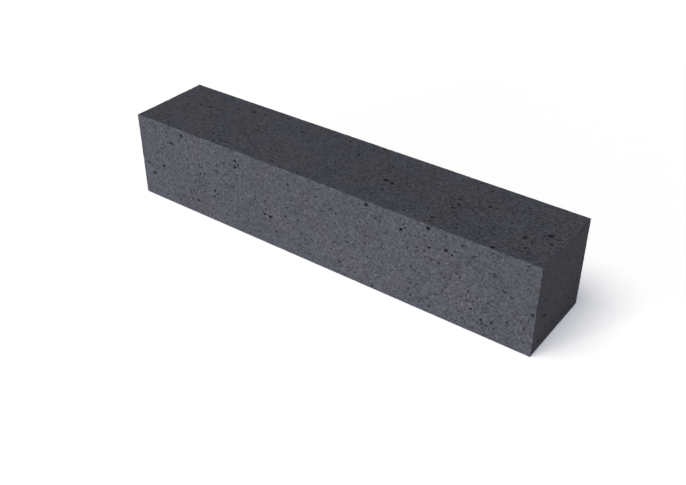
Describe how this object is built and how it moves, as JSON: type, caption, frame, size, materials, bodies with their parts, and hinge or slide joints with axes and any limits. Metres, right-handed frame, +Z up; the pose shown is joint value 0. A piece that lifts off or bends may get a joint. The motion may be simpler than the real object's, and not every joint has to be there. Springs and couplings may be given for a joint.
{
  "type": "concrete stacking block",
  "caption": "Long rectangular block of dark grey concrete with crisp arrises, stacked dry or glued in courses as a low garden wall, edging or step.",
  "frame": {"origin": "centre of the bed face, on the ground the block lies on", "axes": "+X along the length, +Y from the front face to the back face, +Z up from the bed face to the top face"},
  "size_m": [0.75, 0.15, 0.15],
  "materials": {
    "concrete": "dry matt face left by the mould, anthracite through its whole depth, with small open air voids and fine dark sand grains"
  },
  "bodies": {
    "root": {"block": "concrete"}
  },
  "joints": []
}
